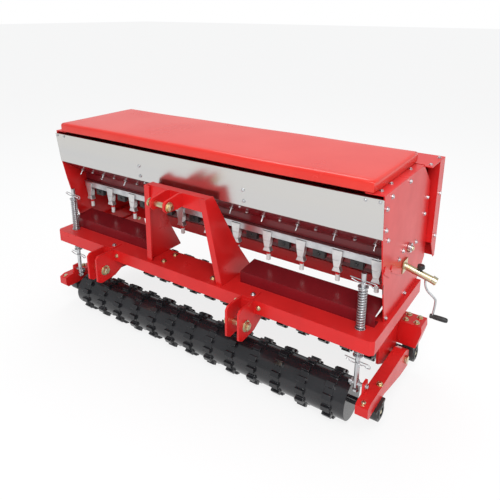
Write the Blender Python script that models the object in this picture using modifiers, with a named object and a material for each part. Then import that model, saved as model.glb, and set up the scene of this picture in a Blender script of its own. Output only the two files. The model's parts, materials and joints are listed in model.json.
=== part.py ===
"""Three-point-linkage seed drill with two lugged rollers and a full-width hopper.

Metres, +Z up, +Y towards the rear, +X to the right of someone who stands at the hitch and looks at
the machine, and "right" in a name means that side. Z = 0 is the ground. Lengthways places (Y) are
counted from the front face of the front beam, and crossways places (X) from the middle of the
hopper. The last step moves every piece so that the origin is at the middle of the whole machine's
footprint.
"""
import math

import bmesh
import bpy
from mathutils import Matrix, Vector

for old in list(bpy.data.objects):
    bpy.data.objects.remove(old, do_unlink=True)

# ---------------------------------------------------------------- driving dimensions
GAP = 0.0003                 # between pieces that touch
SIDES = {"left": -1, "right": 1}

# hopper
HOPPER_HALF = 0.714          # to the outer face of an end plate
END_T = 0.004                # end plate
SHEET = 0.003                # folded sheet
RIM_Z = 0.819                # top of the hopper's rim
PANEL_TOP = (0.028, 0.808)   # stainless front panel, (y, z) of its outer face
PANEL_FOOT = (0.043, 0.683)
TROUGH_Y = (0.165, 0.345)    # seed trough under the hopper
TROUGH_Z = (0.520, 0.600)
SHAFT = (0.310, 0.559)       # feed shaft, (y, z)
REAR_WALL_Y = 0.420          # inner face of the rear wall above its fold

# lid
LID_HALF = 0.683
LID_Y = (0.0325, 0.4325)
LID_Z = (0.824, 0.857)
LID_T = 0.002
LID_AXIS = (0.4385, 0.826)   # (y, z)
HINGE_PLACES = (-0.50, 0.0, 0.50)
HINGE_PIN_R = 0.003
HINGE_EYE_R = 0.005          # the cover's fixed eyes, inside the sweep of the lid's rear wall

# frame
BEAM_HALF = 0.728
BEAM_Y = (0.0, 0.130)
BEAM_Z = (0.327, 0.376)
BEAM_WALL = 0.005
CHAMFER = 0.012
RAIL_X = (0.683, 0.728)
RAIL_REAR = 0.460
REAR_BEAM_Y = (0.395, 0.455)

# hitch
HITCH_X = -0.060             # middle of the lower hitch points
HITCH_HALF = 0.3415          # Category 1 lower links
HITCH_PIN = (-0.050, 0.305)  # (y, z)
HITCH_PIN_R = 0.011
CLEVIS_PLATE = 0.008
CLEVIS_HALF = 0.0243         # clevis middle to the middle of a plate
MAST_X = -0.015
MAST_FOOT_HALF = 0.180
MAST_TILT = math.radians(7.0)
MAST_PLATE = 0.008
MAST_TOP = 0.700
TOP_PIN = (-0.085, 0.672)    # (y, z)
TOP_PIN_R = 0.0095
LUG_HALF = 0.030

# rollers
ROLLER_R = 0.083             # over the lugs
ROLLER_Z = ROLLER_R
FRONT_AXLE_Y = 0.080
REAR_AXLE_Y = 0.440
ROLLER_HALF = 0.645
RING_COUNT = 13
RING_WIDTH = 0.032
RING_INSET = 0.060           # from the drum's end to the middle of the first ring
DRUM_R = 0.070
AXLE_R = 0.0125
AXLE_HALF = 0.737

# roller carriers
ARM_X = (0.690, 0.732)
ARM_WALL = 0.004
HANGER_X = (0.672, 0.680)
BEARING_R = 0.032
BRACKET_X = (0.6803, 0.765)
ARM_PIVOT = (0.350, 0.108)   # (y, z)
ARM_PIVOT_R = 0.010

# spring rods through the front beam
ROD_X = 0.665
ROD_Y = 0.050
ROD_R = 0.008
ROD_Z = (0.163, 0.564)
SPRING_R = (0.0095, 0.0145)
UPPER_SPRING_Z = (0.3763, 0.515)
LOWER_SPRING_Z = (0.285, 0.3267)

# metering rail and spouts
SPOUT_PITCH = 0.134
SPOUT_PAIRS = 5              # spouts each side of the middle one
RAIL_Y = (0.1450, 0.1647)
RAIL_Z = (0.545, 0.572)

# rear cover
COVER_HALF = 0.735
COVER_Y = (0.5233, 0.585)
COVER_Z = (0.425, 0.810)

# ---------------------------------------------------------------- collections and materials
parts = bpy.data.collections.new("seed_drill")
cutters = bpy.data.collections.new("cutters")
bpy.context.scene.collection.children.link(parts)
bpy.context.scene.collection.children.link(cutters)


def material(name, colour, roughness, metallic):
    mat = bpy.data.materials.new(name)
    mat.use_nodes = True
    shader = mat.node_tree.nodes["Principled BSDF"]
    shader.inputs["Base Color"].default_value = (*colour, 1.0)
    shader.inputs["Roughness"].default_value = roughness
    shader.inputs["Metallic"].default_value = metallic
    return mat


FINISHES = {
    "red": ((0.62, 0.03, 0.03), 0.35, 0.0),
    "stainless": ((0.62, 0.60, 0.56), 0.3, 1.0),
    "zinc": ((0.60, 0.61, 0.62), 0.35, 1.0),
    "yellow_zinc": ((0.62, 0.52, 0.30), 0.35, 1.0),
    "black": ((0.02, 0.02, 0.022), 0.3, 0.0),
    "grip": ((0.02, 0.02, 0.02), 0.5, 0.0),
}


# ---------------------------------------------------------------- shapes
def register(obj, name, finish):
    """Name a finished piece, give it its own material and put it with the parts."""
    obj.name = name
    obj.data.name = name
    obj.data.materials.clear()
    obj.data.materials.append(material(name, *FINISHES[finish]))
    for home in list(obj.users_collection):
        home.objects.unlink(obj)
    parts.objects.link(obj)
    return obj


def new_object(mesh):
    obj = bpy.data.objects.new("piece", mesh)
    parts.objects.link(obj)
    return obj


def box(x, y, z):
    """A box between two values on each axis."""
    mesh = bpy.data.meshes.new("box")
    bm = bmesh.new()
    bmesh.ops.create_cube(bm, size=1.0)
    low = Vector((min(x), min(y), min(z)))
    high = Vector((max(x), max(y), max(z)))
    for vert in bm.verts:
        for axis in range(3):
            vert.co[axis] = low[axis] if vert.co[axis] < 0 else high[axis]
    bm.to_mesh(mesh)
    bm.free()
    return new_object(mesh)


def cylinder(radius, start, end, sides=24):
    """A round bar between two points."""
    start, end = Vector(start), Vector(end)
    mesh = bpy.data.meshes.new("bar")
    bm = bmesh.new()
    bmesh.ops.create_cone(bm, cap_ends=True, segments=sides, radius1=radius, radius2=radius,
                          depth=(end - start).length)
    bm.to_mesh(mesh)
    bm.free()
    obj = new_object(mesh)
    turn = Vector((0, 0, 1)).rotation_difference(end - start).to_matrix().to_4x4()
    mesh.transform(Matrix.Translation((start + end) / 2) @ turn)
    return obj


def curve_to_mesh(curve_obj):
    """Replace a curve by its welded mesh, so that it can be cut or joined."""
    bpy.context.view_layer.update()
    depsgraph = bpy.context.evaluated_depsgraph_get()
    mesh = bpy.data.meshes.new_from_object(curve_obj.evaluated_get(depsgraph))
    bm = bmesh.new()
    bm.from_mesh(mesh)
    bmesh.ops.remove_doubles(bm, verts=bm.verts, dist=0.00001)
    bmesh.ops.recalc_face_normals(bm, faces=bm.faces)
    bm.to_mesh(mesh)
    bm.free()
    obj = new_object(mesh)
    obj.matrix_world = curve_obj.matrix_world
    bpy.data.objects.remove(curve_obj, do_unlink=True)
    mesh.transform(obj.matrix_world)
    obj.matrix_world.identity()
    return obj


def plate(outline, span, along="x"):
    """A flat outline given a thickness: (y, z) points along x, or (x, y) points along z."""
    curve = bpy.data.curves.new("outline", "CURVE")
    curve.dimensions = "2D"
    curve.fill_mode = "BOTH"
    curve.extrude = (span[1] - span[0]) / 2
    spline = curve.splines.new("POLY")
    spline.points.add(len(outline) - 1)
    for point, (a, b) in zip(spline.points, outline):
        point.co = (a, b, 0, 1)
    spline.use_cyclic_u = True
    obj = bpy.data.objects.new("outline", curve)
    parts.objects.link(obj)
    middle = (span[0] + span[1]) / 2
    if along == "x":
        obj.rotation_euler = (math.radians(90), 0, math.radians(90))
        obj.location = (middle, 0, 0)
    elif along == "y":
        obj.rotation_euler = (math.radians(90), 0, 0)
        obj.location = (0, middle, 0)
    else:
        obj.location = (0, 0, middle)
    return curve_to_mesh(obj)


def wire(points, radius):
    """A bent round wire."""
    curve = bpy.data.curves.new("wire", "CURVE")
    curve.dimensions = "3D"
    curve.bevel_depth = radius
    curve.bevel_resolution = 2
    curve.use_fill_caps = True
    spline = curve.splines.new("POLY")
    spline.points.add(len(points) - 1)
    for point, place in zip(spline.points, points):
        point.co = (*place, 1)
    obj = bpy.data.objects.new("wire", curve)
    parts.objects.link(obj)
    return curve_to_mesh(obj)


def boolean(obj, other, operation):
    """Join or cut with another object, which goes with the cutters."""
    for home in list(other.users_collection):
        home.objects.unlink(other)
    cutters.objects.link(other)
    other.hide_render = True
    other.display_type = "WIRE"
    change = obj.modifiers.new(operation.lower(), "BOOLEAN")
    change.operation = operation
    change.solver = "EXACT"
    change.object = other
    return obj


def join(obj, *others):
    for other in others:
        boolean(obj, other, "UNION")
    return obj


def cut(obj, *others):
    for other in others:
        boolean(obj, other, "DIFFERENCE")
    return obj


def bake(obj):
    """Apply the modifiers, so that the piece can be moved without its cutters."""
    bpy.context.view_layer.update()
    depsgraph = bpy.context.evaluated_depsgraph_get()
    mesh = bpy.data.meshes.new_from_object(obj.evaluated_get(depsgraph))
    used = [change.object for change in obj.modifiers]
    obj.modifiers.clear()
    obj.data = mesh
    for other in used:
        bpy.data.objects.remove(other, do_unlink=True)
    return obj


def merged(objects):
    """One mesh object holding separate bodies, to join or cut with in a single step."""
    mesh = bpy.data.meshes.new("bodies")
    bm = bmesh.new()
    for obj in objects:
        bm.from_mesh(obj.data)
        bpy.data.objects.remove(obj, do_unlink=True)
    bm.to_mesh(mesh)
    bm.free()
    return new_object(mesh)


def mirrored(span, side):
    """A span of x values on one side of the machine."""
    return tuple(sorted(side * value for value in span))


def folded(path, thickness, span):
    """A sheet folded along x: its (y, z) path, thickened to the path's right-hand side."""
    offset = []
    for i, point in enumerate(path):
        here = Vector(point)
        before = (here - Vector(path[i - 1])).normalized() if i else None
        after = (Vector(path[i + 1]) - here).normalized() if i + 1 < len(path) else None
        directions = [d for d in (before, after) if d is not None]
        normals = [Vector((d.y, -d.x)) for d in directions]
        normal = sum(normals, Vector((0, 0))).normalized()
        offset.append(here + normal * thickness / normal.dot(normals[0]))
    return plate([*path, *[tuple(p) for p in reversed(offset)]], span)


# ---------------------------------------------------------------- frame
def front_beam():
    """A folded channel, open below, with its front corners cut off."""
    half, wall, (front, rear) = BEAM_HALF, BEAM_WALL, BEAM_Y

    def outline(inset):
        edge = half - inset
        return [(-edge, CHAMFER + inset), (-edge + CHAMFER, front + inset),
                (edge - CHAMFER, front + inset), (edge, CHAMFER + inset),
                (edge, rear - inset), (-edge, rear - inset)]

    beam = plate(outline(0), BEAM_Z, "z")
    cut(beam, plate(outline(wall), (BEAM_Z[0] - 0.01, BEAM_Z[1] - wall), "z"))
    for side in SIDES.values():
        place = (side * ROD_X, ROD_Y)
        cut(beam, cylinder(ROD_R + 0.0015, (*place, BEAM_Z[0]), (*place, BEAM_Z[1] + 0.01)))
    register(beam, "front_beam", "red")


def side_rail(name, side):
    """A rectangular tube along each end, open at the rear."""
    x = mirrored(RAIL_X, side)
    rail = box(x, (BEAM_Y[1] + GAP, RAIL_REAR), BEAM_Z)
    cut(rail, box((x[0] + BEAM_WALL, x[1] - BEAM_WALL), (BEAM_Y[1] + 0.01, RAIL_REAR + 0.01),
                  (BEAM_Z[0] + BEAM_WALL, BEAM_Z[1] - BEAM_WALL)))
    register(rail, f"{name}_side_rail", "red")


def rear_beam():
    edge = RAIL_X[0] - GAP
    beam = box((-edge, edge), REAR_BEAM_Y, BEAM_Z)
    cut(beam, box((-edge - 0.01, edge + 0.01),
                  (REAR_BEAM_Y[0] + BEAM_WALL, REAR_BEAM_Y[1] - BEAM_WALL),
                  (BEAM_Z[0] + BEAM_WALL, BEAM_Z[1] - BEAM_WALL)))
    register(beam, "rear_beam", "red")


def deck(name, side):
    """A folded seed deflector standing on the front beam, one each side of the mast."""
    path = [(0.110, BEAM_Z[1] + GAP), (0.076, BEAM_Z[1] + GAP), (0.076, 0.418), (0.166, 0.430)]
    sheet = folded(path, SHEET, mirrored((0.200, 0.700), side))
    register(sheet, f"{name}_deck_plate", "red")


# ---------------------------------------------------------------- hitch
def mast_leg(name, side):
    """A wedge-shaped plate with a narrow front flange, leaning inwards and forwards."""
    height = (MAST_TOP - BEAM_Z[1]) / math.cos(MAST_TILT)
    low = -0.02
    side_plate = [(0.014, low), (0.200, low), (0.196, 0.006), (0.128, 0.113), (0.022, height),
                  (-0.024, height),
                  (0.012, 0.0)]
    leg = plate(side_plate, mirrored((0, MAST_PLATE), side))
    front = [(0.012, low), (0.018, low), (0.018, 0.0), (-0.018, height), (-0.024, height),
             (0.012, 0.0)]
    join(leg, plate(front, mirrored((-0.016, MAST_PLATE - 0.001), side)))
    foot = Vector((MAST_X + side * (MAST_FOOT_HALF - MAST_PLATE), 0, BEAM_Z[1]))
    bake(leg).data.transform(Matrix.Translation(foot) @ Matrix.Rotation(-side * MAST_TILT, 4, "Y"))
    ground = (MAST_X - 0.4, MAST_X + 0.4), (-0.1, 0.4), (BEAM_Z[1] - 0.06, BEAM_Z[1] + GAP)
    cut(leg, box(*ground))
    cut(leg, box(ground[0], ground[1], (MAST_TOP, MAST_TOP + 0.06)))
    register(leg, f"{name}_mast_leg", "red")


def mast_crossbar():
    """The bar between the legs, with the two lugs of the top link."""
    lean = (MAST_TOP - BEAM_Z[1]) * math.tan(MAST_TILT)
    half = MAST_FOOT_HALF - MAST_PLATE / math.cos(MAST_TILT) - lean - 2 * GAP
    bar = box((MAST_X - half, MAST_X + half), (-0.012, 0.020), (0.648, MAST_TOP))
    y, z = TOP_PIN
    lug = [(0.010, MAST_TOP - 0.004), (0.010, 0.656), (-0.040, 0.650), (y - 0.010, z - 0.020),
           (y - 0.022, z - 0.008), (y - 0.022, z + 0.014), (y - 0.012, z + 0.022),
           (-0.030, MAST_TOP + 0.004)]
    for edge in (-1, 1):
        middle = MAST_X + edge * LUG_HALF
        join(bar, plate(lug, (middle - 0.004, middle + 0.004)))
    cut(bar, cylinder(TOP_PIN_R + GAP, (MAST_X - 0.06, y, z), (MAST_X + 0.06, y, z)))
    register(bar, "mast_crossbar", "red")


def link_pin(name, middle, place, radius, reach):
    """A round pin with a head on its left end."""
    y, z = place
    pin = cylinder(radius, (middle - reach, y, z), (middle + reach, y, z))
    join(pin, cylinder(radius * 1.6, (middle - reach - 0.006, y, z), (middle - reach, y, z)))
    register(pin, name, "yellow_zinc")


def lower_clevis(name, side):
    """Two plates on the front of the beam, joined by a strap behind and one below."""
    middle = HITCH_X + side * HITCH_HALF
    y, z = HITCH_PIN
    front, under = BEAM_Y[0] - GAP, BEAM_Z[0] - GAP
    outline = [(front, BEAM_Z[1]), (front, under), (0.090, under), (0.070, 0.300), (0.000, 0.262),
               (y - 0.020, 0.256), (-0.089, 0.268), (-0.089, BEAM_Z[1] - 0.012),
               (-0.078, BEAM_Z[1])]
    inner, outer = CLEVIS_HALF - CLEVIS_PLATE / 2, CLEVIS_HALF + CLEVIS_PLATE / 2
    clevis = box((middle - inner - 0.002, middle + inner + 0.002), (front - 0.006, front),
                 (BEAM_Z[0] + 0.004, BEAM_Z[1] - 0.004))
    for edge in (-1, 1):
        x = sorted((middle + edge * inner, middle + edge * outer))
        join(clevis, plate(outline, x))
    join(clevis, box((middle - inner - 0.002, middle + inner + 0.002), (0.010, 0.060),
                     (under - 0.006, under)))
    cut(clevis, cylinder(HITCH_PIN_R + GAP, (middle - 0.06, y, z), (middle + 0.06, y, z)))
    register(clevis, f"{name}_lower_clevis", "red")
    link_pin(f"{name}_lower_link_pin", middle, HITCH_PIN, HITCH_PIN_R, outer + 0.014)


# ---------------------------------------------------------------- hopper
def end_plate(name, side):
    """The hopper's end, which also stands on the frame, with the rim folded inwards."""
    inset = 0.002 + GAP
    outline = [(PANEL_TOP[0] + inset + 0.003, RIM_Z), (PANEL_FOOT[0] + inset, PANEL_FOOT[1]),
               (0.063, 0.599), (0.121, BEAM_Z[1] + GAP), (0.450, BEAM_Z[1] + GAP), (0.523, 0.440),
               (0.523, 0.507), (0.496, 0.739), (0.400, RIM_Z)]
    plate_x = mirrored((HOPPER_HALF - END_T, HOPPER_HALF), side)
    end = plate(outline, plate_x)
    join(end, box(mirrored((0.655, HOPPER_HALF - 0.001), side), (0.034, 0.400),
                  (RIM_Z - SHEET, RIM_Z)))
    y, z = SHAFT
    cut(end, cylinder(0.0115, (side * 0.69, y, z), (side * 0.73, y, z)))
    register(end, f"hopper_{name}_end", "red")


INNER_HALF = HOPPER_HALF - END_T - GAP


def front_panel():
    """The flat stainless panel across the front of the hopper."""
    (y0, z0), (y1, z1) = PANEL_TOP, PANEL_FOOT
    sheet = plate([(y0, z0), (y1, z1), (y1 + 0.002, z1), (y0 + 0.002, z0)],
                  (-HOPPER_HALF, HOPPER_HALF))
    register(sheet, "hopper_front_panel", "stainless")


def front_wall():
    """The front sheet behind the panel, folded back below it to the seed trough."""
    clear = 0.002 + GAP
    path = [(PANEL_TOP[0] + clear, PANEL_TOP[1]), (PANEL_FOOT[0] + clear, PANEL_FOOT[1]),
            (TROUGH_Y[0] - GAP - SHEET, TROUGH_Z[1]), (TROUGH_Y[0] - GAP - SHEET, 0.5725)]
    sheet = folded(list(reversed(path)), SHEET, (-INNER_HALF, INNER_HALF))
    register(sheet, "hopper_front_wall", "red")


def rear_wall():
    path = [(REAR_WALL_Y, RIM_Z - SHEET - GAP), (REAR_WALL_Y, 0.690), (TROUGH_Y[1] + GAP, TROUGH_Z[1]),
            (TROUGH_Y[1] + GAP, 0.560)]
    sheet = folded(list(reversed(path)), SHEET, (-INNER_HALF, INNER_HALF))
    register(sheet, "hopper_rear_wall", "red")


def trough():
    """The open-topped trough that the seed falls into, with a slot above every spout."""
    (y0, y1), (z0, z1) = TROUGH_Y, TROUGH_Z
    body = box((-INNER_HALF, INNER_HALF), (y0, y1), (z0, z1))
    cut(body, box((-INNER_HALF - 0.01, INNER_HALF + 0.01), (y0 + SHEET, y1 - SHEET),
                  (z0 + SHEET, z1 + 0.01)))
    register(body, "seed_trough", "red")


def feed_shaft():
    """The shaft through the trough, with a set collar outside the right end plate."""
    y, z = SHAFT
    shaft = cylinder(0.010, (-0.745, y, z), (0.728, y, z))
    join(shaft, cylinder(0.0165, (HOPPER_HALF + 0.001, y, z), (HOPPER_HALF + 0.010, y, z)))
    register(shaft, "feed_shaft", "zinc")


def metering_rail():
    """The zinc rail under the hopper's front edge and the spouts that hang from it."""
    rail = box((-0.700, 0.700), RAIL_Y, RAIL_Z)
    places = [i * SPOUT_PITCH for i in range(-SPOUT_PAIRS, SPOUT_PAIRS + 1)]
    throat = [(RAIL_Y[0] - 0.004, RAIL_Z[0] + 0.006), (RAIL_Y[0] - 0.004, 0.500),
              (RAIL_Y[0] + 0.002, 0.488), (RAIL_Y[1] - 0.002, 0.488), (RAIL_Y[1] - 0.0005, 0.505),
              (RAIL_Y[1] - 0.0005, RAIL_Z[0] + 0.006)]
    join(rail, merged([plate(throat, (x - 0.018, x + 0.018)) for x in places]))
    middle = (RAIL_Y[0] + RAIL_Y[1]) / 2 - 0.001
    join(rail, merged([cylinder(0.0075, (x, middle, 0.452), (x, middle, 0.495), 16)
                       for x in places]))
    register(rail, "metering_rail", "zinc")


def rear_cover():
    """A hood behind the hopper: a back sheet with returns at its top and both ends."""
    (y0, y1), (z0, z1) = COVER_Y, COVER_Z
    half = COVER_HALF
    hood = box((-half, half), (y1 - SHEET, y1), (z0, z1))
    join(hood, box((-half + 0.0005, half - 0.0005), (REAR_WALL_Y + SHEET + GAP, y1 - 0.001),
                   (z1 - SHEET, z1 - 0.0002)))
    axis_y, axis_z = LID_AXIS
    ears = [box((x - 0.010, x + 0.010), (axis_y - 0.0042, axis_y + 0.0042), (z1 - 0.002, axis_z))
            for x in HINGE_PLACES]
    eyes = [cylinder(HINGE_EYE_R, (x - 0.0095, axis_y, axis_z), (x + 0.0095, axis_y, axis_z), 16)
            for x in HINGE_PLACES]
    pins = [cylinder(HINGE_PIN_R, (x - 0.026, axis_y, axis_z), (x + 0.026, axis_y, axis_z), 16)
            for x in HINGE_PLACES]
    join(hood, merged(ears))
    join(hood, merged(eyes))
    join(hood, merged(pins))
    flange = [(y0, z1 - 0.001), (y0, z0 + 0.070), (y1 - 0.015, z0 + 0.0005),
              (y1 - 0.0005, z0 + 0.0005), (y1 - 0.0005, z1 - 0.001)]
    for side in SIDES.values():
        join(hood, plate(flange, mirrored((half - SHEET, half - 0.0002), side)))
        join(hood, box(mirrored((HOPPER_HALF - 0.018, half - 0.001), side), (y0 + 0.0005, y0 + SHEET),
                       (z0 + 0.072, z1 - 0.0015)))
    register(hood, "rear_cover", "red")


def lid():
    """A shallow pressed pan, upside down, hinged along its rear edge."""
    (y0, y1), (z0, z1) = LID_Y, LID_Z
    pan = box((-LID_HALF, LID_HALF), (y0, y1), (z0, z1))
    cut(pan, box((-LID_HALF + LID_T, LID_HALF - LID_T), (y0 + LID_T, y1 - LID_T),
                 (z0 - 0.01, z1 - LID_T)))
    axis_y, axis_z = LID_AXIS
    knuckles = [box((x + edge * 0.0105, x + edge * 0.026), (y1 - 0.001, axis_y + 0.0055),
                    (axis_z - 0.0055, axis_z + 0.0055)) for x in HINGE_PLACES for edge in (-1, 1)]
    join(pan, merged(knuckles))
    cut(pan, merged([cylinder(HINGE_PIN_R + GAP, (x - 0.030, axis_y, axis_z),
                              (x + 0.030, axis_y, axis_z), 16) for x in HINGE_PLACES]))
    axis = Vector((0, axis_y, axis_z))
    bake(pan).data.transform(Matrix.Translation(-axis))
    pan.location = axis
    register(pan, "lid", "red")


# ---------------------------------------------------------------- rollers and what carries them
def roller(name, axle_y):
    """A drum with a row of rings and a stub axle at each end, turned about X."""
    profile = [(AXLE_HALF, 0), (AXLE_HALF, AXLE_R), (ROLLER_HALF, AXLE_R), (ROLLER_HALF, DRUM_R)]
    pitch = 2 * (ROLLER_HALF - RING_INSET) / (RING_COUNT - 1)
    for i in range(RING_COUNT):
        middle = ROLLER_HALF - RING_INSET - i * pitch
        start, end = middle + RING_WIDTH / 2, middle - RING_WIDTH / 2
        profile += [(start, DRUM_R), (start, ROLLER_R), (end, ROLLER_R), (end, DRUM_R)]
    profile += [(-ROLLER_HALF, DRUM_R), (-ROLLER_HALF, AXLE_R), (-AXLE_HALF, AXLE_R), (-AXLE_HALF, 0)]
    mesh = bpy.data.meshes.new("profile")
    mesh.from_pydata([(radius, 0, place) for place, radius in profile],
                     [(i, i + 1) for i in range(len(profile) - 1)], [])
    drum = new_object(mesh)
    turn = drum.modifiers.new("turn", "SCREW")
    turn.axis = "Z"
    turn.angle = math.radians(360)
    turn.steps = 32
    turn.render_steps = 32
    turn.use_merge_vertices = True
    turn.merge_threshold = 0.00005
    drum.rotation_euler = (0, math.radians(90), 0)
    drum.location = (0, axle_y, ROLLER_Z)
    register(drum, name, "black")


def bearing(name, side, axle_y, top):
    """A pillow block: round below, flat where it bolts up."""
    reach = 0.040
    round_part = [(axle_y + BEARING_R * math.cos(a), ROLLER_Z + BEARING_R * math.sin(a))
                  for a in [math.radians(180 + 15 * i) for i in range(13)]]
    outline = [*round_part, (axle_y + BEARING_R, top - 0.010), (axle_y + reach, top - 0.008),
               (axle_y + reach, top), (axle_y - reach, top), (axle_y - reach, top - 0.008),
               (axle_y - BEARING_R, top - 0.010)]
    block = plate(outline, mirrored((0.702, 0.742), side))
    cut(block, cylinder(AXLE_R + 0.0005, (side * 0.69, axle_y, ROLLER_Z),
                        (side * (AXLE_HALF + 0.0005), axle_y, ROLLER_Z)))
    register(block, name, "black")


def front_arm(name, side):
    """A channel, open below, from the front bearing back to its pivot on the hanger."""
    outline = [(-0.012, 0.118), (-0.002, 0.1075), (0.135, 0.1075), (0.200, 0.092), (0.300, 0.070),
               (0.385, 0.062), (0.385, 0.128), (0.345, 0.148), (0.010, 0.158), (-0.012, 0.150)]
    x = mirrored(ARM_X, side)
    arm = plate(outline, x)
    hollow = [(0.012, 0.050), (0.375, 0.040), (0.375, 0.120), (0.340, 0.142), (0.012, 0.152)]
    # the channel is cut behind the bearing's seat, which stays solid
    hollow = [(max(y, 0.130), z) for y, z in hollow]
    cut(arm, plate(hollow, (x[0] + ARM_WALL, x[1] - ARM_WALL)))
    lug = [(ROD_Y - 0.018, 0.150), (ROD_Y + 0.018, 0.150), (ROD_Y + 0.014, 0.196),
           (ROD_Y - 0.014, 0.196)]
    join(arm, plate(lug, mirrored((ARM_X[0] + 0.0005, ARM_X[0] + 0.0085), side)))
    y, z = ARM_PIVOT
    cut(arm, cylinder(ARM_PIVOT_R + GAP, (side * 0.66, y, z), (side * 0.75, y, z)))
    register(arm, f"{name}_front_arm", "red")


def hanger(name, side):
    """The plate under the side rail that holds the arm's pivot and the rear bracket."""
    outline = [(0.200, BEAM_Z[0] - GAP), (0.205, 0.155), (0.330, 0.085), (0.370, 0.085),
               (0.400, 0.128), (0.480, 0.128), (0.480, 0.230), (0.458, BEAM_Z[0] - GAP)]
    sheet = plate(outline, mirrored(HANGER_X, side))
    # a foot flange under the side rail
    join(sheet, box(mirrored((HANGER_X[1] - 0.001, RAIL_X[1] - 0.004), side), (0.210, 0.450),
                    (BEAM_Z[0] - GAP - 0.006, BEAM_Z[0] - GAP - 0.0002)))
    y, z = ARM_PIVOT
    cut(sheet, cylinder(ARM_PIVOT_R + GAP, (side * 0.66, y, z), (side * 0.75, y, z)))
    register(sheet, f"{name}_hanger", "red")
    pin = cylinder(ARM_PIVOT_R, (side * 0.666, y, z), (side * 0.736, y, z))
    join(pin, cylinder(0.015, (side * (ARM_X[1] + 0.0005), y, z), (side * 0.7405, y, z), 6))
    register(pin, f"{name}_arm_pivot_pin", "yellow_zinc")


def rear_bracket(name, side):
    """The box outboard of the hanger that the rear bearing bolts up to."""
    inner, outer = BRACKET_X
    outline = [(side * inner, 0.1300), (side * (outer - 0.016), 0.1300), (side * outer, 0.196),
               (side * (outer - 0.003), 0.222), (side * inner, 0.222)]
    bracket = plate(outline, (0.400, 0.476), "y")
    cut(bracket, box(mirrored((inner + 0.005, outer - 0.030), side), (0.406, 0.50), (0.136, 0.216)))
    register(bracket, f"{name}_rear_bracket", "red")


def spring_rod(name, side):
    """The rod through the beam, bolted sideways to the arm's lug, with its two springs."""
    x, y = side * ROD_X, ROD_Y
    foot, top = ROD_Z
    rod = cylinder(ROD_R, (x, y, foot), (x, y, top), 16)
    join(rod, cylinder(0.0065, (side * 0.650, y, 0.178), (side * (ARM_X[0] + 0.0002), y, 0.178), 16))
    # the collars that hold the springs against the beam
    for end in (UPPER_SPRING_Z[1] + GAP + 0.0015, LOWER_SPRING_Z[0] - GAP - 0.0015):
        join(rod, cylinder(SPRING_R[1] - 0.001, (x, y, end - 0.0015), (x, y, end + 0.0015), 16))
    register(rod, f"{name}_spring_rod", "zinc")
    for place, (low, high) in (("upper", UPPER_SPRING_Z), ("lower", LOWER_SPRING_Z)):
        coil = cylinder(SPRING_R[1], (x, y, low), (x, y, high), 16)
        cut(coil, cylinder(SPRING_R[0], (x, y, low - 0.01), (x, y, high + 0.01), 16))
        register(coil, f"{name}_{place}_spring", "zinc")


# ---------------------------------------------------------------- adjuster and drive
def seed_rate_adjuster():
    """The sloping tube on the right end plate and its locking knob."""
    start, end = Vector((HOPPER_HALF + 0.003, 0.273, 0.509)), Vector((0.823, 0.273, 0.481))
    tube = cylinder(0.0115, start, end, 20)
    join(tube, box((HOPPER_HALF + GAP, HOPPER_HALF + 0.006), (0.250, 0.296), (0.488, 0.530)))
    register(tube, "seed_rate_adjuster", "yellow_zinc")


def crank_handle():
    """A bent wire under the adjuster's outer end, with a grip parallel to X."""
    bends = [(0.788, 0.273, 0.4770), (0.788, 0.273, 0.448), (0.822, 0.273, 0.424),
             (0.829, 0.273, 0.414), (0.822, 0.273, 0.362)]
    handle = wire(bends, 0.0038)
    join(handle, cylinder(0.0085, (0.814, 0.273, 0.357), (0.871, 0.273, 0.357), 16))
    register(handle, "crank_handle", "grip")


def drive_guard():
    """The cover of the chain from the rear roller up to the feed shaft, on the left end."""
    outline = [(0.270, 0.300), (0.420, 0.235), (0.480, 0.235), (0.500, 0.260), (0.500, 0.330),
               (0.370, 0.590), (0.340, 0.612), (0.285, 0.612), (0.265, 0.590)]
    guard = plate(outline, (-0.778, -0.7285))
    middle = Vector((sum(p[0] for p in outline), sum(p[1] for p in outline))) / len(outline)
    inner = [tuple(middle + (Vector(p) - middle) * 0.97) for p in outline]
    cut(guard, plate(inner, (-0.775, -0.70)))
    register(guard, "drive_guard", "red")


# ---------------------------------------------------------------- build
front_beam()
rear_beam()
mast_crossbar()
link_pin("top_link_pin", MAST_X, TOP_PIN, TOP_PIN_R, 0.048)
front_panel()
front_wall()
rear_wall()
trough()
feed_shaft()
metering_rail()
rear_cover()
lid()
roller("front_roller", FRONT_AXLE_Y)
roller("rear_roller", REAR_AXLE_Y)
seed_rate_adjuster()
crank_handle()
drive_guard()
for name, side in SIDES.items():
    side_rail(name, side)
    deck(name, side)
    mast_leg(name, side)
    lower_clevis(name, side)
    end_plate(name, side)
    front_arm(name, side)
    bearing(f"{name}_front_bearing", side, FRONT_AXLE_Y, 0.1072)
    hanger(name, side)
    rear_bracket(name, side)
    bearing(f"{name}_rear_bearing", side, REAR_AXLE_Y, 0.1297)
    spring_rod(name, side)

# the footprint's middle becomes the origin
FOOTPRINT_X = (-0.778, 0.871)
FOOTPRINT_Y = (TOP_PIN[0] - 0.022, COVER_Y[1])
shift = Vector((-sum(FOOTPRINT_X) / 2, -sum(FOOTPRINT_Y) / 2, 0))
for obj in [*parts.objects, *cutters.objects]:
    obj.location += shift
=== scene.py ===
"""Looks of the seed drill: paint, plated steel, lugged rollers, coil springs, spouts, bolts, light, camera.

Places are written as the machine is measured: x from the middle of the hopper, y from the front face
of the front beam, z from the ground. at() turns them into the frame's own coordinates.
"""
import json
import math

import bmesh
import bpy
from mathutils import Matrix, Vector


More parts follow.
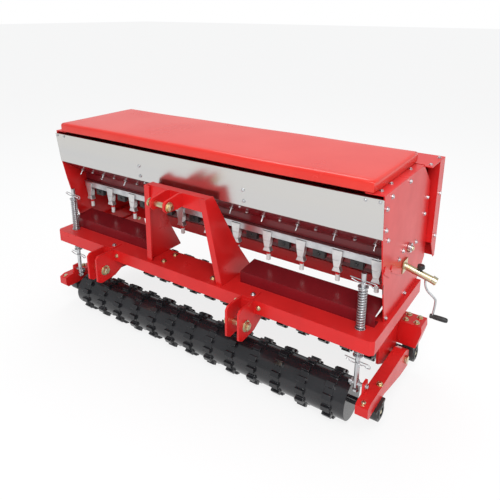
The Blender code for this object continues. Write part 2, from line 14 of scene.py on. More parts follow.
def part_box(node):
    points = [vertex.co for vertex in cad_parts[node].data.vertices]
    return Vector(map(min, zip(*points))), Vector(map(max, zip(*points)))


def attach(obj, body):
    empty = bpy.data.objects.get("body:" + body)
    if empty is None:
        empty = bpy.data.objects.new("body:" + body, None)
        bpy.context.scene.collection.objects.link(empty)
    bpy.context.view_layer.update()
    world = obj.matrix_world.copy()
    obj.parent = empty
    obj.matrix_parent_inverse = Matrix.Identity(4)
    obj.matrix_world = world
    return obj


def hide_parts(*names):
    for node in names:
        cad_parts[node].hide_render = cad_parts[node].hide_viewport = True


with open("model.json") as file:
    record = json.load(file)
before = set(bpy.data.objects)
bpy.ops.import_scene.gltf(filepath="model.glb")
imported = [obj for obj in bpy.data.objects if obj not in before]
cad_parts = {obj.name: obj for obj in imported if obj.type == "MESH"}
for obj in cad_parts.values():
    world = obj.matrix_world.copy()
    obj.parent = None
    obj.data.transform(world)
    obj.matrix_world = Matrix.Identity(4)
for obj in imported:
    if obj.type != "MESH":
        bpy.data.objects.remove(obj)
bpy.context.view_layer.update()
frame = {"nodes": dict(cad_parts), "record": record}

beam_low, beam_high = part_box("front_beam")
ORIGIN = Vector(((beam_low.x + beam_high.x) / 2, beam_low.y, 0))
SIDES = {"left": -1, "right": 1}


def at(x, y, z):
    return ORIGIN + Vector((x, y, z))


def span(node):
    """A node's box in the machine's own coordinates."""
    low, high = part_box(node)
    return low - ORIGIN, high - ORIGIN


def middle_of(node):
    low, high = span(node)
    return (low + high) / 2


# places that several fittings share
END_X = span("hopper_right_end")[1].x        # outer face of an end plate
RIM_Z = span("hopper_right_end")[1].z        # top of the hopper
BEAM_TOP = span("front_beam")[1].z
COVER_X, COVER_TOP = span("rear_cover")[1].x, 0.810
ROD = middle_of("right_upper_spring")        # the right spring rod, in x and y
AXLES = [middle_of("front_roller"), middle_of("rear_roller")]
MAST_X = middle_of("mast_crossbar").x
LINK_PIN = (-0.050, 0.305)                   # (y, z)
TOP_PIN = (-0.085, 0.672)                    # (y, z)
HINGE_AXIS = (0.4385, 0.826)                 # (y, z)
HINGE_PLACES = (-0.50, 0.0, 0.50)
SPOUT_PITCH, SPOUT_PAIRS = 0.134, 5
CRANK_Y = 0.273                              # the adjuster, its crank and its knob

# ---------------------------------------------------------------- materials
def finish(name, colour, other, roughness, metallic=0.0, coat=0.0, gloss=0.5, patch=9.0,
           grain=500.0, bump=0.05, stretch=(1, 1, 1), edge=0.0012, dust=0.0):
    """A finish whose colour drifts in patches, with a fine grain and softly rounded edges."""
    mat = bpy.data.materials.new(name)
    mat.use_nodes = True
    nodes, links = mat.node_tree.nodes, mat.node_tree.links
    shader = nodes["Principled BSDF"]
    shader.inputs["Metallic"].default_value = metallic
    shader.inputs["Coat Weight"].default_value = coat
    shader.inputs["Coat Roughness"].default_value = 0.06
    shader.inputs["Specular IOR Level"].default_value = gloss
    coords = nodes.new("ShaderNodeTexCoord")
    mapping = nodes.new("ShaderNodeMapping")
    mapping.inputs["Scale"].default_value = stretch
    links.new(coords.outputs["Object"], mapping.inputs["Vector"])
    patches = nodes.new("ShaderNodeTexNoise")
    patches.inputs["Scale"].default_value = patch
    patches.inputs["Detail"].default_value = 5
    fine = nodes.new("ShaderNodeTexNoise")
    fine.inputs["Scale"].default_value = grain
    fine.inputs["Detail"].default_value = 3
    for texture in (patches, fine):
        links.new(mapping.outputs["Vector"], texture.inputs["Vector"])
    mix = nodes.new("ShaderNodeMix")
    mix.data_type = "RGBA"
    mix.inputs["A"].default_value = (*colour, 1)
    mix.inputs["B"].default_value = (*other, 1)
    spread = nodes.new("ShaderNodeMapRange")
    spread.inputs["From Min"].default_value = 0.35
    spread.inputs["From Max"].default_value = 0.7
    links.new(patches.outputs["Fac"], spread.inputs["Value"])
    links.new(spread.outputs["Result"], mix.inputs["Factor"])
    colour_out = mix.outputs["Result"]
    if dust:
        facing = nodes.new("ShaderNodeNewGeometry")
        upward = nodes.new("ShaderNodeSeparateXYZ")
        links.new(facing.outputs["Normal"], upward.inputs["Vector"])
        settle = nodes.new("ShaderNodeMath")
        settle.operation = "MULTIPLY"
        settle.use_clamp = True
        links.new(upward.outputs["Z"], settle.inputs[0])
        links.new(fine.outputs["Fac"], settle.inputs[1])
        amount = nodes.new("ShaderNodeMath")
        amount.operation = "MULTIPLY"
        amount.inputs[1].default_value = dust
        links.new(settle.outputs["Value"], amount.inputs[0])
        dusty = nodes.new("ShaderNodeMix")
        dusty.data_type = "RGBA"
        dusty.inputs["B"].default_value = (0.45, 0.38, 0.33, 1)
        links.new(amount.outputs["Value"], dusty.inputs["Factor"])
        links.new(colour_out, dusty.inputs["A"])
        colour_out = dusty.outputs["Result"]
    links.new(colour_out, shader.inputs["Base Color"])
    worn = nodes.new("ShaderNodeMapRange")
    worn.inputs["To Min"].default_value = roughness[0]
    worn.inputs["To Max"].default_value = roughness[1]
    links.new(patches.outputs["Fac"], worn.inputs["Value"])
    links.new(worn.outputs["Result"], shader.inputs["Roughness"])
    relief = nodes.new("ShaderNodeBump")
    relief.inputs["Strength"].default_value = bump
    relief.inputs["Distance"].default_value = 0.0005
    links.new(fine.outputs["Fac"], relief.inputs["Height"])
    if edge:
        rounded = nodes.new("ShaderNodeBevel")
        rounded.samples = 4
        rounded.inputs["Radius"].default_value = edge
        links.new(rounded.outputs["Normal"], relief.inputs["Normal"])
    links.new(relief.outputs["Normal"], shader.inputs["Normal"])
    return mat


RED = finish("red_gloss_paint", (0.66, 0.014, 0.014), (0.58, 0.011, 0.011), (0.22, 0.38), coat=0.08,
             gloss=0.28, dust=0.03)
LID_RED = finish("lid_red_paint", (0.72, 0.030, 0.018), (0.66, 0.022, 0.014), (0.16, 0.34), coat=0.2,
                 gloss=0.35, patch=5, dust=0.03)
# The same red paint made darker as painted shade, for the walls and plates that lie in shadow under the
# hopper.
SHADED_RED = finish("painted_shade_red_paint", (0.20, 0.007, 0.012), (0.14, 0.006, 0.010), (0.16, 0.34),
                    coat=0.1, gloss=0.4, patch=6, dust=0.02)
STAINLESS = finish("stainless_sheet", (0.66, 0.64, 0.60), (0.58, 0.59, 0.62), (0.16, 0.34), metallic=1.0,
                   patch=3, grain=240, bump=0.05, stretch=(0.05, 1, 1))
ZINC = finish("bright_zinc", (0.62, 0.63, 0.64), (0.50, 0.51, 0.53), (0.22, 0.42), metallic=1.0,
              patch=40, bump=0.08, edge=0.0006)
YELLOW = finish("yellow_zinc", (0.66, 0.54, 0.28), (0.58, 0.56, 0.44), (0.2, 0.4), metallic=1.0,
                patch=60, bump=0.06, edge=0.0006)
BLACK = finish("black_roller_paint", (0.012, 0.012, 0.014), (0.02, 0.02, 0.023), (0.10, 0.26), coat=0.15,
               gloss=0.4, patch=12, grain=260, bump=0.10, edge=0.0)
CAST = finish("black_cast_housing", (0.014, 0.014, 0.015), (0.03, 0.03, 0.03), (0.3, 0.5),
              grain=420, bump=0.3)
PLASTIC = finish("black_grip_plastic", (0.015, 0.015, 0.016), (0.02, 0.02, 0.02), (0.38, 0.5),
                 grain=700, bump=0.2)
WHITE = finish("pale_spout_plastic", (0.72, 0.71, 0.69), (0.62, 0.61, 0.60), (0.3, 0.45),
               patch=30, bump=0.05)
ALLOY = finish("spout_alloy", (0.74, 0.74, 0.73), (0.62, 0.63, 0.64), (0.28, 0.42), metallic=0.85,
               patch=50, bump=0.12, edge=0.0008)
# Near-black painted shade, standing for the shadow inside a slot.
SLOT_SHADE = finish("painted_shade_opening", (0.012, 0.010, 0.010), (0.02, 0.015, 0.015), (0.6, 0.8), edge=0.0)

LOOKS = {"red_paint": RED, "stainless": STAINLESS, "zinc": ZINC, "yellow_zinc": YELLOW,
         "black_iron": CAST, "grip": PLASTIC}
for entry in frame["record"]["subparts"]:
    node = frame["nodes"][entry["node"]]
    for holder in node.material_slots:
        holder.material = LOOKS[entry["material_slot"]]
# Painted shade: the front wall, trough and deck plates take the darker red.
for name in ("hopper_front_wall", "seed_trough", "left_deck_plate", "right_deck_plate"):
    for holder in frame["nodes"][name].material_slots:
        holder.material = SHADED_RED


# ---------------------------------------------------------------- building pieces
def piece(name, bm, mat, body="frame", bevel=0.0, segments=2, sharp=35):
    """Turn a bmesh into a smooth-shaded piece that rides on a body; sharp is an angle in degrees."""
    bmesh.ops.recalc_face_normals(bm, faces=bm.faces)
    mesh = bpy.data.meshes.new(name)
    bm.to_mesh(mesh)
    bm.free()
    mesh.materials.append(mat)
    mesh.polygons.foreach_set("use_smooth", [True] * len(mesh.polygons))
    mesh.set_sharp_from_angle(angle=math.radians(sharp))
    obj = bpy.data.objects.new(name, mesh)
    bpy.context.scene.collection.objects.link(obj)
    if bevel:
        soften = obj.modifiers.new("soften", "BEVEL")
        soften.width = bevel
        soften.segments = segments
        soften.limit_method = "ANGLE"
        soften.angle_limit = math.radians(40)
    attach(obj, body)
    return obj


def add_box(bm, x, y, z):
    made = bmesh.ops.create_cube(bm, size=1.0)["verts"]
    for vert in made:
        vert.co = at(*(max(pair) if side > 0 else min(pair) for pair, side in zip((x, y, z), vert.co)))
    return made


def add_bar(bm, start, end, radius, end_radius=None, sides=16):
    start, end = at(*start), at(*end)
    made = bmesh.ops.create_cone(bm, cap_ends=True, segments=sides, radius1=radius,
                                 radius2=radius if end_radius is None else end_radius,
                                 depth=(end - start).length)["verts"]
    turn = Vector((0, 0, 1)).rotation_difference(end - start).to_matrix().to_4x4()
    bmesh.ops.transform(bm, matrix=Matrix.Translation((start + end) / 2) @ turn, verts=made)
    return made


def add_slab(bm, first, second):
    """A slab between two matching faces, each of four corners in the frame's coordinates."""
    corners = [bm.verts.new(place) for place in (*first, *second)]
    for face in ((0, 1, 2, 3), (4, 5, 6, 7), (0, 1, 5, 4), (1, 2, 6, 5), (2, 3, 7, 6), (3, 0, 4, 7)):
        bm.faces.new([corners[i] for i in face])


def add_turned(bm, profile, axis, sides, ring=False):
    """A shape turned about a line along x, from (x, radius) pairs; a ring's profile closes on itself."""
    y, z = axis
    turns = [2 * math.pi * k / sides for k in range(sides)]
    rows = [[bm.verts.new(at(x, y + radius * math.cos(turn), z + radius * math.sin(turn)))
             for turn in turns] for x, radius in profile]
    for row, following in zip(rows, rows[1:] + rows[:1] if ring else rows[1:]):
        for k in range(sides):
            m = (k + 1) % sides
            bm.faces.new((row[k], row[m], following[m], following[k]))
    if not ring:
        bm.faces.new(rows[0])
        bm.faces.new(rows[-1])


def add_bolt(bm, place, facing, size, washer=True):
    """A hexagon head, on a washer or bare; size is half the width across its corners."""
    place, facing = Vector(place), Vector(facing).normalized()
    if washer:
        add_bar(bm, place, place + facing * size * 0.18, size * 1.35, sides=20)
    add_bar(bm, place + facing * size * 0.16, place + facing * size * 0.85, size, sides=6)
    add_bar(bm, place + facing * size * 0.8, place + facing * size * 1.02, size * 0.82, size * 0.6,
            sides=12)


def wire(name, points, radius, mat, soft=True):
    """A round wire on the frame through its points, with soft or plain bends."""
    curve = bpy.data.curves.new(name, "CURVE")
    curve.dimensions = "3D"
    curve.bevel_depth = radius
    curve.bevel_resolution = 3
    curve.use_fill_caps = True
    curve.resolution_u = 6
    spline = curve.splines.new("NURBS" if soft else "POLY")
    spline.points.add(len(points) - 1)
    for point, place in zip(spline.points, points):
        point.co = (*at(*place), 1)
    if soft:
        spline.order_u = 3
        spline.use_endpoint_u = True
    curve.materials.append(mat)
    obj = bpy.data.objects.new(name, curve)
    bpy.context.scene.collection.objects.link(obj)
    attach(obj, "frame")
    return obj


# ---------------------------------------------------------------- rollers
def roller(node, lugs=12):
    """A smooth drum with rings of square lugs, each ring turned half a lug from the last."""
    low, high = span(node)
    axle_y, axle_z = (low.y + high.y) / 2, (low.z + high.z) / 2
    outer = (high.z - low.z) / 2
    half, rings, width, inset = 0.645, 13, 0.032, 0.060
    core = outer - 0.013
    root = core + 0.0022
    pitch = 2 * (half - inset) / (rings - 1)
    bm = bmesh.new()
    add_bar(bm, (-half, axle_y, axle_z), (half, axle_y, axle_z), core, sides=72)
    add_bar(bm, (low.x, axle_y, axle_z), (high.x, axle_y, axle_z), 0.0125, sides=24)
    for ring in range(rings):
        middle = -half + inset + ring * pitch
        loops = []
        for x in (middle - width / 2, middle + width / 2):
            loop = []
            for lug in range(lugs):
                start = lug + 0.5 * (ring % 2)
                for share, radius in ((0.0, root), (0.03, outer), (0.47, outer), (0.50, root)):
                    turn = 2 * math.pi * (start + share) / lugs
                    loop.append(bm.verts.new(at(x, axle_y + radius * math.cos(turn),
                                                axle_z + radius * math.sin(turn))))
            loops.append(loop)
            bm.faces.new(loop)
        count = len(loops[0])
        for i in range(count):
            j = (i + 1) % count
            bm.faces.new((loops[0][i], loops[0][j], loops[1][j], loops[1][i]))
    skin = piece(f"{node}_lugs", bm, BLACK, node, bevel=0.0012)
    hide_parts(node)
    bm = bmesh.new()
    for side in SIDES.values():
        add_bolt(bm, (side * 0.737, axle_y, axle_z), (side, 0, 0), 0.0075, washer=False)
    piece(f"{node}_axle_bolts", bm, YELLOW, node, bevel=0.0004)


roller("front_roller")
roller("rear_roller")


# ---------------------------------------------------------------- lid
def lid():
    """A pressed pan with rolled edges and a slightly uneven top."""
    low, high = span("lid")
    rear = high.y - 0.0115
    bm = bmesh.new()
    across, deep = 60, 16
    grid = {}
    corner = 0.011
    for i in range(across + 1):
        for j in range(deep + 1):
            x = low.x + corner + (high.x - low.x - 2 * corner) * i / across
            y = low.y + corner + (rear - low.y - 2 * corner) * j / deep
            lift = 0.0009 * math.sin(5.1 * x + 3.0) * math.sin(9 * y) + 0.0006 * math.sin(13 * x + 11 * y)
            grid[i, j] = bm.verts.new(at(x, y, high.z - 0.0018 + lift))
    for i in range(across):
        for j in range(deep):
            bm.faces.new((grid[i, j], grid[i + 1, j], grid[i + 1, j + 1], grid[i, j + 1]))
    rim = [grid[i, 0] for i in range(across)] + [grid[across, j] for j in range(deep)]
    rim += [grid[i, deep] for i in range(across, 0, -1)] + [grid[0, j] for j in range(deep, 0, -1)]
    middle = at((low.x + high.x) / 2, (low.y + rear) / 2, 0)
    steps = [(corner * math.sin(a), corner * (1 - math.cos(a)))
             for a in [math.radians(18 * k) for k in range(1, 6)]]
    drop = high.z - low.z - 0.0018
    steps += [(corner, drop - 0.003), (corner - 0.001, drop), (corner - 0.006, drop - 0.0005),
              (corner - 0.009, drop)]
    edge_x = (high.x - low.x) / 2 - corner
    edge_y = (rear - low.y) / 2 - corner
    rows = [rim]
    for out, down in steps:
        row = []
        for vert in rim:
            away = vert.co - middle
            push = Vector((0, 0, 0))
            if abs(abs(away.x) - edge_x) < 1e-5:
                push.x = math.copysign(1, away.x)
            if abs(abs(away.y) - edge_y) < 1e-5:
                push.y = math.copysign(1, away.y)
            if push.x and push.y:
                push = push.normalized() * 1.12
            row.append(bm.verts.new(vert.co + push * out - Vector((0, 0, down))))
        rows.append(row)
    for upper, lower in zip(rows, rows[1:]):
        for i in range(len(upper)):
            j = (i + 1) % len(upper)
            bm.faces.new((upper[i], upper[j], lower[j], lower[i]))
    shell = piece("lid_pan", bm, LID_RED, "lid", sharp=60)
    skin = shell.modifiers.new("sheet", "SOLIDIFY")
    skin.thickness = 0.0016
    skin.offset = -1
    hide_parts("lid")
    bm = bmesh.new()
    axis_y, axis_z = HINGE_AXIS
    for x in HINGE_PLACES:
        for edge in (-1, 1):
            inner, outer = x + edge * 0.0105, x + edge * 0.026
            add_bar(bm, (inner, axis_y, axis_z), (outer, axis_y, axis_z), 0.0055)
            add_box(bm, (inner, outer), (rear - 0.001, axis_y), (axis_z, axis_z + 0.0052))
    piece("lid_knuckles", bm, LID_RED, "lid", bevel=0.0005)


lid()


# ---------------------------------------------------------------- springs, rods and clips
def coil(node, pitch):
    low, high = span(node)
    outer = (high.x - low.x) / 2
    thick = 0.0021
    x, y = (low.x + high.x) / 2, (low.y + high.y) / 2
    bottom, top = low.z + thick, high.z - thick
    turns = round((top - bottom) / pitch)
    count = turns * 16
    route = [(x + (outer - thick) * math.cos(2 * math.pi * k / 16),
              y + (outer - thick) * math.sin(2 * math.pi * k / 16),
              bottom + (top - bottom) * k / count) for k in range(count + 1)]
    spring = wire(f"{node}_coil", route, thick, ZINC, soft=False)
    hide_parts(node)


def clip(name, place):
    """An R-clip: a straight leg through the rod and a looped leg beside it."""
    # steps along x, y and z from the middle of the rod, along the leg and back round the loop
    steps = [(-0.043, 0, 0.004), (0.016, 0, 0), (0.030, 0, 0), (0.042, 0, -0.002), (0.043, 0, -0.011),
             (0.030, 0, -0.015), (0.024, 0, -0.007), (0.014, -0.0105, -0.003), (0, -0.0112, -0.001),
             (-0.016, -0.0100, -0.003), (-0.034, -0.0115, 0.005)]
    route = [Vector(place) + Vector(step) for step in steps]
    wire(name, route, 0.0018, ZINC)


def rod_fittings(name, side):
    """A rod's springs, washers, nuts and the clips through its ends."""
    coil(f"{name}_upper_spring", 0.0090)
    coil(f"{name}_lower_spring", 0.0075)
    x, y = side * ROD.x, ROD.y
    eye_z = 0.178                # the bolt through the rod's foot and the arm's lug
    bm = bmesh.new()
    for z in (0.5185, 0.2805):
        add_bar(bm, (x, y, z - 0.0015), (x, y, z + 0.0015), 0.0165, sides=28)
    add_bar(bm, (x, y, BEAM_TOP + 0.0005), (x, y, BEAM_TOP + 0.0030), 0.0170, sides=28)
    add_bolt(bm, (x, y, 0.158), (0, 0, -1), 0.0105, washer=False)
    add_bolt(bm, (side * 0.6985, y, eye_z), (side, 0, 0), 0.0075)
    add_bolt(bm, (side * 0.6505, y, eye_z), (-side, 0, 0), 0.0095)
    piece(f"{name}_rod_washers", bm, ZINC, bevel=0.0004)
    clip(f"{name}_rod_clip", (x, y, 0.537))
    clip(f"{name}_rod_lower_clip", (x, y, 0.258))


for name, side in SIDES.items():
    rod_fittings(name, side)


# ---------------------------------------------------------------- metering rail and spouts
def spouts():
    """The zinc rail with a spout at each place, and a gate between every two."""
    front, rear, top, foot = 0.1452, 0.1647, 0.572, 0.5452
    outlet_y = 0.155
    bm = bmesh.new()
    add_box(bm, (-0.700, 0.700), (front, rear - 0.004), (foot, top))
    add_box(bm, (-0.700, 0.700), (front - 0.003, front + 0.001), (top - 0.005, top - 0.0005))
    rail = piece("metering_rail_channel", bm, ZINC, bevel=0.0008)
    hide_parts("metering_rail")
    throats, tubes, stubs, gates = bmesh.new(), bmesh.new(), bmesh.new(), bmesh.new()
    throat = ((0.566, 0.019), (0.530, 0.015), (0.505, 0.010), (0.489, 0.016))    # (z, half width)
    for k in range(-SPOUT_PAIRS, SPOUT_PAIRS + 1):
        x = k * SPOUT_PITCH
        for (z0, w0), (z1, w1) in zip(throat, throat[1:]):
            made = add_box(throats, (x - w0, x + w0), (front - 0.006, rear - 0.005), (z1, z0))
            for vert in made:
                if vert.co.z < (z0 + z1) / 2:
                    vert.co.x = at(x + math.copysign(w1, vert.co.x - at(x, 0, 0).x), 0, 0).x
        add_bar(stubs, (x, outlet_y, 0.489), (x, outlet_y, 0.476), 0.0085)
        add_bar(tubes, (x, outlet_y, 0.480), (x, outlet_y, 0.452), 0.0070, 0.0078, sides=20)
        if k < SPOUT_PAIRS:
            middle = x + SPOUT_PITCH / 2
            add_box(gates, (middle - 0.022, middle + 0.022), (front - 0.002, rear - 0.005),
                    (0.520, foot - 0.0002))
            add_bolt(gates, (middle, front - 0.002, 0.534), (0, -1, 0), 0.0055)
    piece("spout_throats", throats, ALLOY, bevel=0.0012)
    piece("spout_stubs", stubs, RED, bevel=0.0006)
    piece("spout_tubes", tubes, WHITE, bevel=0.0006)
    piece("seed_gates", gates, CAST, bevel=0.0010)


def wall_studs():
    """A row of levers and studs, by turns, down the sloping front wall."""
    levers, heads = bmesh.new(), bmesh.new()
    slope = Vector((0, -0.572, -0.820))          # out of the wall
    z = 0.632
    y = 0.0437 + (0.683 - z) * (0.162 - 0.0453) / 0.083
    for k in range(-2 * SPOUT_PAIRS, 2 * SPOUT_PAIRS + 1):
        x = k * SPOUT_PITCH / 2
        if k % 2:
            add_bolt(heads, (x, y - 0.0016, z), slope, 0.0050)
        else:
            foot = Vector((x, y, z))
            add_bar(levers, foot, foot + slope * 0.022, 0.0035, 0.0026, sides=12)
            add_bar(levers, foot, foot + slope * 0.003, 0.0085, sides=18)
    piece("gate_levers", levers, ZINC, bevel=0.0004)
    piece("front_wall_studs", heads, ZINC, bevel=0.0004)


spouts()
wall_studs()


# ---------------------------------------------------------------- bolts and small fittings
PANEL_TOP = (0.028, 0.808)                   # (y, z) of the stainless panel's top edge
PANEL_SLOPE = 0.12                           # how far back it runs for each metre down

# (y, z) on the outer face of an end plate
END_BOLTS = [(0.096, 0.800), (0.258, 0.802), (0.059, 0.773), (0.065, 0.706), (0.090, 0.666),
             (0.480, 0.684), (0.463, 0.628), (0.388, 0.549), (0.250, 0.569), (0.216, 0.553),
             (0.132, 0.386), (0.313, 0.388)]
# (x, y, z) of the upright bolts: two on an arm, four on a rear bracket
UPRIGHT_BOLTS = [(0.711, 0.004, 0.1512), (0.722, 0.112, 0.156), (0.700, 0.420, 0.222),
                 (0.740, 0.420, 0.222), (0.700, 0.460, 0.222), (0.740, 0.460, 0.222)]
# (y, z) on the inner face of a hanger
HANGER_BOLTS = [(0.260, 0.300), (0.430, 0.300), (0.440, 0.190)]
# (y, z) of both ends of the two straps of an end plate's seam, each (lower, upper)
SEAM_STRAPS = [((0.078, 0.575), (0.136, 0.536)), ((0.138, 0.553), (0.244, 0.500))]


def panel_bolts():
    bm = bmesh.new()
    facing = (0, -1, -PANEL_SLOPE)

    def on_panel(x, z):
        return (x, PANEL_TOP[0] + (PANEL_TOP[1] - z) * PANEL_SLOPE - 0.0002, z)

    for x in (-0.238, 0.238):
        for z in (0.742, 0.702):
            add_bolt(bm, on_panel(x, z), facing, 0.0052)
    for side in SIDES.values():
        for x, z in ((0.660, 0.799), (0.703, 0.800)):
            add_bolt(bm, on_panel(side * x, z), facing, 0.0042)
    for x in (-0.225, 0.215):
        add_bolt(bm, (x, 0.0505, 0.6745), (0, -0.8, -0.57), 0.0045)
    piece("panel_bolts", bm, ZINC, bevel=0.0003)


def end_fittings(name, side):
    """The bolts of an end plate and of the arm, bracket and hanger, and the bearings' raised rings."""
    bm = bmesh.new()
    for y, z in END_BOLTS:
        add_bolt(bm, (side * END_X, y, z), (side, 0, 0), 0.0058)
    for y in (0.070, 0.150, 0.330):
        add_bolt(bm, (side * 0.690, y, RIM_Z), (0, 0, 1), 0.0050)
    piece(f"{name}_end_bolts", bm, ZINC, bevel=0.0003)
    bm = bmesh.new()
    for x, y, z in UPRIGHT_BOLTS:
        add_bolt(bm, (side * x, y, z), (0, 0, 1), 0.0085)
    for y, z in HANGER_BOLTS:
        add_bolt(bm, (side * 0.672, y, z), (-side, 0, 0), 0.0070)
    piece(f"{name}_carrier_bolts", bm, YELLOW, bevel=0.0004)
    bm = bmesh.new()
    back, face, inner, outer = side * 0.7415, side * 0.7455, 0.0145, 0.024
    for axle in AXLES:
        add_turned(bm, ((back, inner), (back, outer), (face, outer - 0.001), (face, inner)),
                   (axle.y, axle.z), 40, ring=True)
    piece(f"{name}_bearing_rings", bm, CAST, bevel=0.0004)


def seams():
    """The lapped seam of each end plate, its slot drawn as a thin patch of painted shade, and the tabs over
    the beam at the clevises.
    """
    straps, slot_shades, bolts = bmesh.new(), bmesh.new(), bmesh.new()
    for name, side in SIDES.items():
        for foot, head in SEAM_STRAPS:
            along = Vector((0, head[0] - foot[0], head[1] - foot[1]))
            wide = Vector((0, -along.z, along.y)).normalized() * 0.012
            faces = [[at(side * x, *end) + wide * sign
                      for end, sign in ((foot, 1), (head, 1), (head, -1), (foot, -1))]
                     for x in (END_X + 0.0003, END_X + 0.0030)]
            add_slab(straps, *faces)
        middle = middle_of(f"{name}_lower_clevis").x
        tab_foot, tab_top = BEAM_TOP + 0.0003, BEAM_TOP + 0.0035
        add_box(straps, (middle - 0.022, middle + 0.022), (0.0005, 0.052), (tab_foot, tab_top))
        # painted shade: a thin black patch on the plate stands for the slot
        add_box(slot_shades, (side * (END_X - 0.0002), side * (END_X + 0.0003)), (0.081, 0.087), (0.492, 0.522))
        add_bolt(bolts, (middle + 0.008, 0.024, tab_top), (0, 0, 1), 0.0070)
        add_bolt(bolts, (side * COVER_X, 0.5535, 0.517), (side, 0, 0), 0.0060)
        add_bolt(bolts, (side * COVER_X, 0.560, 0.680), (side, 0, 0), 0.0055)
        for y in (0.450, 0.555):
            add_bolt(bolts, (side * 0.722, y, COVER_TOP), (0, 0, 1), 0.0055)
    piece("seams_and_tabs", straps, RED, bevel=0.0008)
    piece("end_slot_shades", slot_shades, SLOT_SHADE)
    piece("tab_and_cover_bolts", bolts, ZINC, bevel=0.0003)


def seed_board():
    """The board behind the spouts, from the trough down to the rear beam, in the darker red of painted
    shade.
    """
    bm = bmesh.new()
    top, foot, thick = (0.3500, 0.556), (0.3975, 0.3785), 0.0015
    section = [top, foot, (foot[0] + thick, foot[1]), (top[0] + thick, top[1])]
    add_slab(bm, *[[at(x, y, z) for y, z in section] for x in (-0.682, 0.682)])
    # painted shade: the board takes the darker red that stands for shadow
    piece("seed_board", bm, SHADED_RED, bevel=0.0004)


def hitch_nuts():
    """The nuts of the three hitch pins, and the bolts of the clevises and the mast's feet."""
    bm = bmesh.new()
    for name, side in SIDES.items():
        middle = middle_of(f"{name}_lower_clevis").x
        add_bolt(bm, (middle + 0.0285, *LINK_PIN), (1, 0, 0), 0.0150)
        for aside in (0.045, -0.045):
            add_bolt(bm, (middle + aside, -0.0002, 0.352), (0, -1, 0), 0.0065)
        for y in (0.040, 0.105):
            add_bolt(bm, (MAST_X + side * 0.120, y, BEAM_TOP), (0, 0, 1), 0.0085)
    add_bolt(bm, (MAST_X + 0.0355, *TOP_PIN), (1, 0, 0), 0.0135)
    piece("hitch_nuts", bm, YELLOW, bevel=0.0005)


panel_bolts()
for name, side in SIDES.items():
    end_fittings(name, side)
seams()
seed_board()
hitch_nuts()


# ---------------------------------------------------------------- crank and adjuster
def crank():
    """The bent wire under the adjuster, and its ribbed grip."""
    bends = [(0.788, 0.4770), (0.788, 0.448), (0.822, 0.424), (0.829, 0.414), (0.822, 0.3575)]    # (x, z)
    rod = wire("crank_wire", [(x, CRANK_Y, z) for x, z in bends], 0.0036, ZINC)
    bm = bmesh.new()
    profile = [(0.814, 0.0060), (0.816, 0.0080), (0.822, 0.0072), (0.832, 0.0082), (0.850, 0.0085),
               (0.864, 0.0080), (0.869, 0.0066), (0.8705, 0.0040)]
    add_turned(bm, profile, (CRANK_Y, 0.357), 28)
    grip = piece("crank_grip", bm, PLASTIC)
    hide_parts("crank_handle")
    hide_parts("crank_handle")


def adjuster():
    """The locking knob on the adjuster's tube, the cap on its end, and the feed shaft's end."""
    bm = bmesh.new()
    knob_x = 0.770
    add_bar(bm, (knob_x, CRANK_Y, 0.505), (knob_x, CRANK_Y, 0.516), 0.006)
    add_bar(bm, (knob_x, CRANK_Y, 0.514), (knob_x, CRANK_Y, 0.526), 0.0125, 0.0115, sides=9)
    piece("adjuster_knob", bm, PLASTIC, bevel=0.0014, segments=3)
    bm = bmesh.new()
    add_bar(bm, (0.808, CRANK_Y, 0.4872), (0.8225, CRANK_Y, 0.4813), 0.0135, sides=28)
    add_bolt(bm, (END_X + 0.0102, 0.310, 0.559), (1, 0, 0), 0.0085, washer=False)
    piece("adjuster_end", bm, YELLOW, bevel=0.0008)


crank()
adjuster()


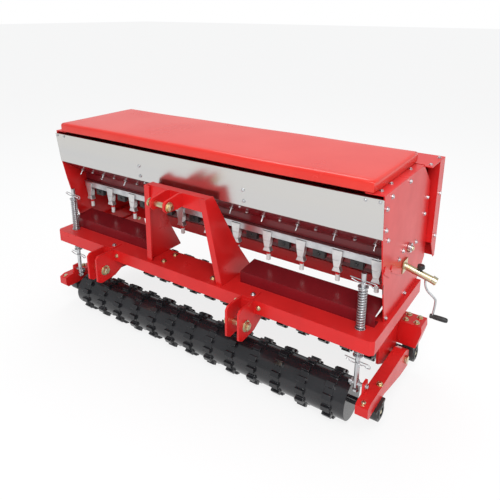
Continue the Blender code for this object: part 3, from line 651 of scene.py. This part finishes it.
# ---------------------------------------------------------------- floor, light and camera
def stage():
    """A floor and a world that look white to the camera and light the object softly."""
    bpy.ops.mesh.primitive_plane_add(size=90)
    floor = bpy.context.object
    floor.name = "floor"
    mat = bpy.data.materials.new("pale_floor")
    mat.use_nodes = True
    nodes, links = mat.node_tree.nodes, mat.node_tree.links
    matte = nodes["Principled BSDF"]
    matte.inputs["Base Color"].default_value = (0.92, 0.92, 0.92, 1)
    matte.inputs["Roughness"].default_value = 0.9
    glow = nodes.new("ShaderNodeEmission")
    rays = nodes.new("ShaderNodeLightPath")
    seen = rays.outputs["Is Camera Ray"]
    for kind in ("Is Glossy Ray", "Is Transmission Ray"):
        both = nodes.new("ShaderNodeMath")
        both.operation = "ADD"
        both.use_clamp = True
        links.new(seen, both.inputs[0])
        links.new(rays.outputs[kind], both.inputs[1])
        seen = both.outputs["Value"]
    share = nodes.new("ShaderNodeMath")
    share.operation = "MULTIPLY"
    share.inputs[1].default_value = 0.82
    links.new(seen, share.inputs[0])
    blend = nodes.new("ShaderNodeMixShader")
    links.new(share.outputs["Value"], blend.inputs["Fac"])
    links.new(matte.outputs["BSDF"], blend.inputs[1])
    links.new(glow.outputs["Emission"], blend.inputs[2])
    links.new(blend.outputs["Shader"], nodes["Material Output"].inputs["Surface"])
    floor.data.materials.append(mat)
    world = bpy.data.worlds.new("studio")
    bpy.context.scene.world = world
    world.use_nodes = True
    nodes, links = world.node_tree.nodes, world.node_tree.links
    soft = nodes["Background"]
    soft.inputs["Color"].default_value = (0.96, 0.98, 1.0, 1)
    soft.inputs["Strength"].default_value = 0.62
    white = nodes.new("ShaderNodeBackground")
    white.inputs["Color"].default_value = (1, 1, 1, 1)
    rays = nodes.new("ShaderNodeLightPath")
    mix = nodes.new("ShaderNodeMixShader")
    links.new(rays.outputs["Is Camera Ray"], mix.inputs["Fac"])
    links.new(soft.outputs["Background"], mix.inputs[1])
    links.new(white.outputs["Background"], mix.inputs[2])
    links.new(mix.outputs["Shader"], nodes["World Output"].inputs["Surface"])


def lamp(name, place, target, size, power):
    data = bpy.data.lights.new(name, "AREA")
    data.shape = "DISK"
    data.size = size
    data.energy = power
    obj = bpy.data.objects.new(name, data)
    obj.location = place
    obj.rotation_euler = (Vector(target) - Vector(place)).to_track_quat("-Z", "Y").to_euler()
    bpy.context.scene.collection.objects.link(obj)


CAMERA_PLACE = (1.1587, -1.2968, 1.3051)
AZIMUTH, ELEVATION, ROLL = math.radians(34.057), math.radians(16.656), math.radians(0.298)


def camera():
    """The camera, turned AZIMUTH to the right of the front, ELEVATION down and ROLL about its view."""
    data = bpy.data.cameras.new("camera")
    data.sensor_width = 36
    data.lens = 37.68
    data.shift_x = 0.0039
    data.shift_y = -0.166
    back = Vector((math.sin(AZIMUTH) * math.cos(ELEVATION), -math.cos(AZIMUTH) * math.cos(ELEVATION),
                   math.sin(ELEVATION)))
    level = Vector((math.cos(AZIMUTH), math.sin(AZIMUTH), 0))
    right = level * math.cos(ROLL) + back.cross(level) * math.sin(ROLL)
    obj = bpy.data.objects.new("camera", data)
    obj.matrix_world = Matrix.Translation(at(*CAMERA_PLACE)) @ Matrix(
        (right, back.cross(right), back)).transposed().to_4x4()
    bpy.context.scene.collection.objects.link(obj)
    bpy.context.scene.camera = obj


stage()
lamp("key", (1.6, -2.6, 3.2), (0, 0, 0.4), 2.2, 95)
lamp("side", (3.2, 0.6, 2.0), (0, 0, 0.4), 1.8, 12)
lamp("top", (-0.8, 1.2, 3.6), (0, 0, 0.6), 2.4, 50)
camera()
bpy.context.scene.view_settings.view_transform = "Standard"
